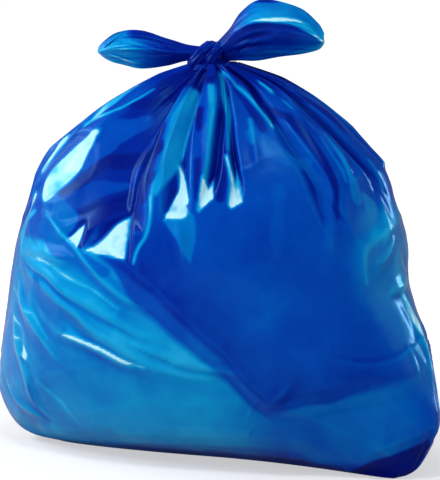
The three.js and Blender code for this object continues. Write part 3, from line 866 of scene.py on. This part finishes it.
def finer(net, rows, columns):
    """A grid read smoothly at more rows and columns; the columns run round a closed ring."""
    net = through(net, np.linspace(0, len(net) - 1, rows))
    # Two columns are repeated before the ring and three after it, so that it is smooth across its seam.
    ring = np.moveaxis(np.concatenate((net[:, -2:], net, net[:, :3]), 1), 1, 0)
    place = 2 + np.arange(columns) * net.shape[1] / columns
    return np.moveaxis(through(ring, place), 0, 1)


def sharpness(points, full):
    """How sharply a grid is bent at each point: toward 1 on a ridge and toward -1 in a crease."""
    up = np.roll(points, -RIDGE_SPAN, 0)
    down = np.roll(points, RIDGE_SPAN, 0)
    up[-RIDGE_SPAN:] = points[-RIDGE_SPAN:]
    down[:RIDGE_SPAN] = points[:RIDGE_SPAN]
    middle = (up + down + np.roll(points, RIDGE_SPAN, 1) + np.roll(points, -RIDGE_SPAN, 1)) / 4
    return np.tanh(((points - middle) * outward(points)).sum(-1) / full)


def below(angle, share, overhang):
    """1 under a tuck's line and 0 above it."""
    line, _, fade = overhang
    over, full = overhang_offset(angle, share, line, fade)
    return full * rising(over, TUCK_BLUR / 2, -TUCK_BLUR / 2)


def backed_and_lit_share(angle, share, over, full):
    """How far the film lies on the contents below the belly's edge and at the right end, where it reads paler
    and light is painted in as well.
    """
    left = LOWER_LEFT + (1 - LOWER_LEFT) * rising(angle, *LOWER_LEFT_FULLEST)
    left = left * rising(angle, *LOWER_LEFT_START) * rising(angle, *LOWER_LEFT_END)
    right = LOWER_RIGHT * full * rising(angle, *LOWER_RIGHT_START)
    border = BORDER_WIDTH * rising(angle, *BORDER_START) * rising(angle, *BORDER_END)
    half_blur = (BACKED_BLUR + BORDER_BLUR * border) / 2
    backed = rising(over + border, half_blur, -half_blur) * np.maximum(left, right)
    end = rising(np.abs(turn(RIGHT_END_ANGLE, angle)), *RIGHT_END_REACH)
    end = end * rising(share, *RIGHT_END_TOP) * rising(share, *RIGHT_END_FOOT)
    end = end * (RIGHT_END_LOW + (RIGHT_END_HIGH - RIGHT_END_LOW) * rising(share, *RIGHT_END_RISE))
    return np.maximum(backed, end)


def tuck_shade(angle, share):
    """Painted shade where the film turns under the bag."""
    tone = BASE_TUCK_SHADE * below(angle, share, BASE_TUCK) + FOOT_SHADE * rising(share, *FOOT_SHARES)
    return tone * rising(angle, *TUCK_START) + CORNER_TUCK_SHADE * below(angle, share, CORNER_TUCK)


def sack_tone(points, angle, share):
    """How pale the film looks, with light and shade painted in: painted highlights on shelves, ridges and
    folds, paler where it lies on the contents with painted light there too, painted light and shade across
    laps, and painted shade in creases and hollows, under the belly's edge, at the neck and where it turns
    under."""
    line, _, fade = BELLY_OVERHANG
    over, full = overhang_offset(angle, share, line, fade)
    near = wavered(angle, share)
    shelf = shelf_highlight(*near)
    sag_shade = full * smooth(over / SAG_START) * np.exp(-((over / SAG_REACH) ** 2))
    tone = PLAIN_TONE + tuck_shade(angle, share)
    tone += BACKED_AND_LIT_TONE * backed_and_lit_share(angle, share, over, full)
    tone += HOLLOW_SHADE_TONE * hollow_share(*near) * (1 - shelf)
    tone += SAG_SHADE_TONE * sag_shade * (1 - shelf)
    tone += BUNCHED_SHADE_TONE * rising(share, *BUNCHED_SHARES)
    tone += RIDGE_LIGHT_AND_SHADE * sharpness(points, SACK_RIDGE)
    tone += FOLD_HIGHLIGHT_TONE * smooth(fold_rise(*near) / FOLD_FULL)
    tone += LAP_LIGHT_AND_SHADE * fold_shade(*near)
    tone += CLOUD_TONE * cloudy(angle, share, SEED + 3)
    return with_painted_light_and_shade(np.minimum(tone, PALEST_BACKED) + SHELF_HIGHLIGHT_TONE * shelf, *near)


def with_painted_light_and_shade(tone, angle, share):
    """The tone with the painted highlights, painted reflections and painted shade laid into it."""
    for path, half_widths, pale in PAINTED_LIGHT_AND_SHADE:
        off, along, _ = from_path(angle, share, path)
        half = np.interp(along, np.linspace(0, 1, len(half_widths)), half_widths) * MM
        tone = tone + (pale - tone) * rising(off - half, TINT_EDGE / 2, -TINT_EDGE / 2)
    return tone


def ear_points(stations, side, seed):
    """One ear: a flattened, creased loop of film that fans out from the knot, folded along a crest."""
    ear = table(stations, EAR_MEASURES)
    ear["out"] = np.cumsum(ear["step"])
    place = np.linspace(0, len(stations) - 1, EAR_RINGS)
    place, round_angle = np.meshgrid(place, around(EAR_POINTS), indexing="ij")
    at = {name: through(values, place) for name, values in ear.items()}
    length = place / (len(stations) - 1)
    up = np.sin(round_angle)
    face = side * np.sign(np.cos(round_angle))
    top = at["crest"]
    roof = np.where(up > top, (1 - up) / (1 - top), (1 + up) / (1 + top))
    y = face * roof * at["thick"] / 2 - at["bow"] * (1 - up**2)
    fullness = smooth(at["tall"] / max(ear["tall"]))
    rng = np.random.default_rng(seed)
    for _ in range(EAR_CREASES):
        start = rng.uniform(*EAR_CREASE_START)
        run = rng.uniform(*EAR_CREASE_RUN)
        across = rng.uniform(*EAR_CREASE_PLACE)
        lean = rng.normal(0, EAR_CREASE_LEAN)
        reach = rng.uniform(*EAR_CREASE_REACH)
        proud = rng.uniform(-1, 1) * EAR_CREASE_RISE * rng.choice((-1, 1))
        along = np.clip((length - start) / run, 0, 1)
        off = np.abs(up - across - lean * along) / reach
        y += face * proud * fullness * np.sin(np.pi * along) * np.clip(1 - off, 0, 1)
    wave = sum(weight * np.sin(length * count + times * seed) for count, times, weight in EAR_RUFFLE_WAVES)
    y += EAR_RUFFLE * wave * np.abs(up) ** 3 * fullness
    x = side * at["out"]
    z = at["lift"] + up * at["tall"] / 2
    return np.stack((x, y, z), -1) * MM, length, up, up - top


def ear_tone(points, length, up, over_crest, look):
    """Painted shade near the knot and painted light paler outwards by the ear's own look, with a painted
    highlight band along the crest and a spot of painted shade.
    """
    start, above, band, under, under_far, rim, tip, spot = look
    upper = rising(over_crest, *EAR_CREST)
    out = rising(length, start, start + EAR_FADE)
    tone = EAR_TONE + out * above * upper
    tone += (out * under + rising(length, *EAR_FAR) * under_far) * (1 - upper)
    tone += band * out * np.exp(-(((over_crest - EAR_BAND) / EAR_BAND_REACH) ** 2))
    tone += rim * out * (1 - upper) * rising(up, *EAR_RIM)
    tone += tip * rising(length, *EAR_TIP)
    at_length, at_up, half_length, half_up = spot
    off = np.hypot((length - at_length) / half_length, (up - at_up) / half_up)
    tone += (EAR_SPOT_SHADE - tone) * rising(off, *EAR_SPOT_EDGE)
    return tone + EAR_RIDGE_LIGHT_AND_SHADE * sharpness(points, EAR_RIDGE)


def wrap_points(shift, lift, lean, loop, strand):
    """One turn of the knot's strand, pleated along its length."""
    round_loop, round_strand = np.meshgrid(around(WRAP_RINGS), around(WRAP_POINTS), indexing="ij")
    start = shift / MM
    pleats = STRAND_PLEAT * np.abs(np.cos(STRAND_PLEATS * round_strand + round_loop))
    fine_angle = FINE_STRAND_PLEATS * round_strand - FINE_STRAND_TWIST * round_loop + start
    pleats += FINE_STRAND_PLEAT * np.abs(np.cos(fine_angle))
    radius = strand * (STRAND_CORE + pleats + STRAND_SWELL * np.cos(STRAND_SWELLS * round_loop + start))
    ring = loop + radius * np.cos(round_strand)
    along = radius * np.sin(round_strand)
    high = ring * np.sin(round_loop)
    lean = math.radians(lean)
    x = shift + along * math.cos(lean) + high * math.sin(lean)
    y = ring * np.cos(round_loop)
    z = lift + high * math.cos(lean) - along * math.sin(lean)
    return np.stack((x, y, z), -1)


def knot_tone(points):
    """Painted shade in the knot's folds, and painted light on its upper turns and its ridges."""
    top = rising(points[..., 2], *KNOT_TOP)
    return KNOT_TONE + KNOT_TOP_LIGHT * top + KNOT_RIDGE_LIGHT_AND_SHADE * sharpness(points, KNOT_RIDGE)


angle, place = film_grid(FILM_ROWS, FILM_COLUMNS)
sack = drawn_film(angle, place)
# The CAD centres the bag's box on the origin, so the film is centred in the same way.
cad_low, cad_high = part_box("garbage_bag")
axis_shift = (cad_low + cad_high) / 2 - Vector((sack.min((0, 1)) + sack.max((0, 1))) / 2)
axis_shift.z = 0
net = drawn_film(*film_grid(NET_ROWS, NET_COLUMNS))
sack = sack + finer(settled_moves(net), FILM_ROWS, FILM_COLUMNS)
share = through(SACK["height"], place)
pleats = pleat_depth(angle, share) * np.minimum(1, girth_per_degree(share) / MM)
fine = crease_rise(angle, place, share) - pleats
sack = sack + outward(sack) * (fine * smooth(place / GROUND_FADE))[..., None]
sack[..., 2] = np.maximum(sack[..., 2], 0)

knot_middle = np.array((KNOT_SHIFT, 0, NECK_HEIGHT + KNOT_LIFT))
pieces = []


def add_film(name, points, tone, joined=False):
    """Adds a piece of film that carries its tone."""
    mesh = film_mesh(name, points, tone, joined)
    values = mesh.attributes.new("tone", "FLOAT", "POINT")
    values.data.foreach_set("value", np.clip(tone, 0, 1).astype(np.float32).ravel())
    piece = place_piece(name, mesh)
    piece.location = axis_shift
    pieces.append(piece)
    return piece


sack_film = add_film("sack_film", sack, sack_tone(sack, angle, share))
for name, stations, side, look in (
    ("left_ear", LEFT_EAR, -1, LEFT_EAR_LOOK),
    ("right_ear", RIGHT_EAR, 1, RIGHT_EAR_LOOK),
):
    points, length, up, over_crest = ear_points(stations, side, SEED + 10 + side)
    add_film(name, points + knot_middle, ear_tone(points, length, up, over_crest, look))
for number, wrap in enumerate(WRAPS):
    points = wrap_points(*wrap)
    add_film(f"knot_wrap_{number}", points + knot_middle, knot_tone(points), joined=True)


def linear(hex_colour):
    """An sRGB hex colour as linear RGBA."""
    parts = [int(hex_colour[i : i + 2], 16) / 255 for i in (1, 3, 5)]
    return tuple(c / 12.92 if c <= 0.04045 else ((c + 0.055) / 1.055) ** 2.4 for c in parts) + (1,)


def add_node(tree, kind, settings=None, *in_order, **by_name):
    """Adds a node, sets its fields and inputs, and links other nodes' outputs to its inputs."""
    node = tree.nodes.new(kind)
    for name, value in (settings or {}).items():
        if name in node.inputs:
            node.inputs[name].default_value = value
        else:
            setattr(node, name, value)
    for number, output in enumerate(in_order):
        tree.links.new(output, node.inputs[number])
    for name, output in by_name.items():
        tree.links.new(output, node.inputs[name.replace("_", " ")])
    return node


def spread(low, high, start, end):
    """The settings of a Map Range node that turns low to high into start to end."""
    return {"From Min": low, "From Max": high, "To Min": start, "To Max": end}


# Blown polyethylene film: thin, glossy and slightly see-through. Its colour follows the tone, into which
# light
# and shade are painted: painted shade in hollows and folds, paler where it lies on the contents with painted
# light there too, and painted highlights in the palest places. Its highlights come back pale blue.
# It is a little duller where it is deep, and dull where it is scuffed by the ground.
# The film's colours by tone: the deepest stand for painted shade, and the palest, near white, for painted
# highlights.
FILM_TONES = (
    (0, "#00066E"),
    (0.25, "#00208C"),
    (0.5, "#0043A8"),
    (0.7, "#0068B6"),
    (0.86, "#068CC6"),
    (0.93, "#1C9CD0"),
    (0.985, "#A4D6E6"),
)
FILM_IOR = 1.51
FILM_GLOSS = 0.17
FILM_GLOSS_TINT = "#88E0F4"
CLOUD_SIZE = 45 * MM
CLOUDS_TO_TONE = spread(0.3, 0.7, -0.06, 0.06)
TONE_TO_ROUGHNESS = spread(0.05, 0.4, 0.32, 0.2)
HEIGHT_TO_ROUGHNESS = spread(10 * MM, 24 * MM, 0.6, 0.2)
CRINKLE_SIZE = 9 * MM
CRINKLE_DEPTH = 1.2 * MM
CRINKLE_STRENGTH = 0.22


def film_material():
    film = bpy.data.materials.new("blown polyethylene film")
    film.use_nodes = True
    tree = film.node_tree
    shader = tree.nodes["Principled BSDF"]
    shader.inputs["IOR"].default_value = FILM_IOR
    shader.inputs["Specular IOR Level"].default_value = FILM_GLOSS
    shader.inputs["Specular Tint"].default_value = linear(FILM_GLOSS_TINT)
    where = add_node(tree, "ShaderNodeTexCoord").outputs["Object"]
    tone = add_node(tree, "ShaderNodeAttribute", {"attribute_name": "tone"}).outputs["Fac"]
    clouds = add_node(tree, "ShaderNodeTexNoise", {"Scale": 1 / CLOUD_SIZE, "Detail": 3}, Vector=where)
    uneven = add_node(tree, "ShaderNodeMapRange", CLOUDS_TO_TONE, Value=clouds.outputs["Fac"])
    mixed = add_node(tree, "ShaderNodeMath", {"operation": "ADD"}, tone, uneven.outputs["Result"]).outputs[0]
    colours = add_node(tree, "ShaderNodeValToRGB", Fac=mixed)
    stops = colours.color_ramp.elements
    while len(stops) < len(FILM_TONES):
        stops.new(0.5)
    for stop, (at, colour) in zip(stops, FILM_TONES):
        stop.position = at
        stop.color = linear(colour)
    tree.links.new(colours.outputs["Color"], shader.inputs["Base Color"])
    sheen = add_node(tree, "ShaderNodeMapRange", TONE_TO_ROUGHNESS, Value=mixed).outputs["Result"]
    height = add_node(tree, "ShaderNodeSeparateXYZ", Vector=where).outputs["Z"]
    scuffed = add_node(tree, "ShaderNodeMapRange", HEIGHT_TO_ROUGHNESS, Value=height).outputs["Result"]
    duller = add_node(tree, "ShaderNodeMath", {"operation": "MAXIMUM"}, sheen, scuffed)
    tree.links.new(duller.outputs[0], shader.inputs["Roughness"])
    crinkles = add_node(tree, "ShaderNodeTexNoise", {"Scale": 1 / CRINKLE_SIZE, "Detail": 4}, Vector=where)
    relief = {"Strength": CRINKLE_STRENGTH, "Distance": CRINKLE_DEPTH}
    bump = add_node(tree, "ShaderNodeBump", relief, Height=crinkles.outputs["Fac"])
    tree.links.new(bump.outputs["Normal"], shader.inputs["Normal"])
    return film


film = film_material()
for piece in pieces:
    piece.data.materials.append(film)
    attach(piece, "root")
    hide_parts("garbage_bag")


def seen_plainly(tree, mirrored_share):
    """1 for rays that look straight at a surface, less in a reflection, and 0 for rays that light things."""
    path = add_node(tree, "ShaderNodeLightPath").outputs
    larger = {"operation": "MAXIMUM"}
    mirrored = add_node(tree, "ShaderNodeMath", larger, path["Is Glossy Ray"], path["Is Transmission Ray"])
    dimmed = add_node(tree, "ShaderNodeMapRange", {"To Max": mirrored_share}, Value=mirrored.outputs[0])
    either = add_node(tree, "ShaderNodeMath", larger, path["Is Camera Ray"], dimmed.outputs["Result"])
    return either.outputs[0]


# A wide, pale, matt floor that keeps the bag's shadow. To the camera it glows up to the white of the surround
# as it gets further from the bag.
FLOOR_REACH = 15
FLOOR_COLOUR = "#B4B4B4"
FLOOR_ROUGHNESS = 0.9
DISTANCE_TO_GLOW = {"interpolation_type": "SMOOTHSTEP", **spread(0.25, 1, 0.5, 0.86)}
MIRRORED_GLOW = 0.15


def floor_material():
    paint = bpy.data.materials.new("matt white floor paint")
    paint.use_nodes = True
    tree = paint.node_tree
    shader = tree.nodes["Principled BSDF"]
    shader.inputs["Base Color"].default_value = linear(FLOOR_COLOUR)
    shader.inputs["Roughness"].default_value = FLOOR_ROUGHNESS
    shader.inputs["Emission Color"].default_value = linear("#FFFFFF")
    where = add_node(tree, "ShaderNodeTexCoord").outputs["Object"]
    from_middle = add_node(tree, "ShaderNodeVectorMath", {"operation": "LENGTH"}, where).outputs["Value"]
    fade = add_node(tree, "ShaderNodeMapRange", DISTANCE_TO_GLOW, Value=from_middle).outputs["Result"]
    seen = seen_plainly(tree, MIRRORED_GLOW)
    glow = add_node(tree, "ShaderNodeMath", {"operation": "MULTIPLY"}, seen, fade).outputs[0]
    tree.links.new(glow, shader.inputs["Emission Strength"])
    return paint


floor_mesh = bpy.data.meshes.new("floor")
floor_corners = [(x * FLOOR_REACH, y * FLOOR_REACH, 0) for x, y in ((-1, -1), (1, -1), (1, 1), (-1, 1))]
floor_mesh.from_pydata(floor_corners, [], [(0, 1, 2, 3)])
floor_mesh.materials.append(floor_material())
floor = place_piece("floor", floor_mesh)

# A white surround: dim light from all round, and for the camera and reflections a wall that is darker above.
SURROUND_LIGHT = 0.38
WALL_LIGHT = 0.3
CEILING_LIGHT = 0.08
RISE_TO_LIGHT = {"interpolation_type": "SMOOTHSTEP", **spread(0.1, 0.3, WALL_LIGHT, CEILING_LIGHT)}


def white_surround():
    world = bpy.data.worlds.new("white surround")
    world.use_nodes = True
    tree = world.node_tree
    way = add_node(tree, "ShaderNodeTexCoord").outputs["Generated"]
    rise = add_node(tree, "ShaderNodeSeparateXYZ", Vector=way).outputs["Z"]
    wall = add_node(tree, "ShaderNodeMapRange", RISE_TO_LIGHT, Value=rise).outputs["Result"]
    seen = seen_plainly(tree, 1)
    brightness = add_node(tree, "ShaderNodeMapRange", {"To Min": SURROUND_LIGHT}, Value=seen, To_Max=wall)
    background = tree.nodes["Background"]
    background.inputs["Color"].default_value = linear("#FFFFFF")
    tree.links.new(brightness.outputs["Result"], background.inputs["Strength"])
    return world


bpy.context.scene.world = white_surround()

# The camera stands where the photograph's did. The photograph is 480 pixels high, and 895 pixels of it are a
# metre at the bag.
CAMERA_AZIMUTH = 20
CAMERA_ELEVATION = 8.25
CAMERA_DISTANCE = 3.5
CAMERA_TARGET = Vector((0.0008, 0, 0.2417))
PHOTO_HEIGHT_PIXELS = 480
PIXELS_PER_METRE = 895


def toward(azimuth, elevation):
    """The way from the bag to a place seen at an azimuth and elevation; azimuth 0 is the front."""
    azimuth = math.radians(azimuth)
    elevation = math.radians(elevation)
    flat = math.cos(elevation)
    return Vector((math.sin(azimuth) * flat, -math.cos(azimuth) * flat, math.sin(elevation)))


back = toward(CAMERA_AZIMUTH, CAMERA_ELEVATION)
camera_data = bpy.data.cameras.new("camera")
camera_data.lens = camera_data.sensor_width * CAMERA_DISTANCE / (PHOTO_HEIGHT_PIXELS / PIXELS_PER_METRE)
camera = place_piece("camera", camera_data)
camera.location = CAMERA_TARGET + back * CAMERA_DISTANCE
camera.rotation_euler = back.to_track_quat("Z", "Y").to_euler()
bpy.context.scene.camera = camera

# Soft white lamps light the film. Pale blue cards, most of them at lamps' places, are what its gloss shows.
LAMP_COLOUR = "#FFFFFF"
CARD_COLOUR = "#A6E4FF"
LAMP_DISTANCE = 1.6


def light_panel(name, azimuth, elevation, width, height, watts, card=False):
    """A flat lamp that faces the bag: a softbox, or a card that only reflections show."""
    lamp = bpy.data.lights.new(name, "AREA")
    lamp.shape = "RECTANGLE"
    lamp.size = width
    lamp.size_y = height
    lamp.energy = watts
    lamp.color = linear(CARD_COLOUR if card else LAMP_COLOUR)[:3]
    panel = place_piece(name, lamp)
    panel.visible_diffuse = not card
    panel.visible_glossy = card
    way = toward(azimuth, elevation)
    panel.location = CAMERA_TARGET + way * LAMP_DISTANCE
    panel.rotation_euler = way.to_track_quat("Z", "Y").to_euler()


light_panel("left softbox", -82, 28, 1.5, 0.34, 19)
light_panel("top softbox", 16, 62, 0.5, 0.2, 11)
light_panel("low fill", -15, 2, 1.6, 0.25, 11)
light_panel("right fill", 100, 12, 0.6, 0.6, 5)
light_panel("left card", -82, 28, 1.5, 0.34, 45, card=True)
light_panel("top card", 16, 62, 0.5, 0.2, 9, card=True)
light_panel("right card", 130, 14, 0.25, 0.7, 14, card=True)
bpy.context.scene.view_settings.view_transform = "Standard"
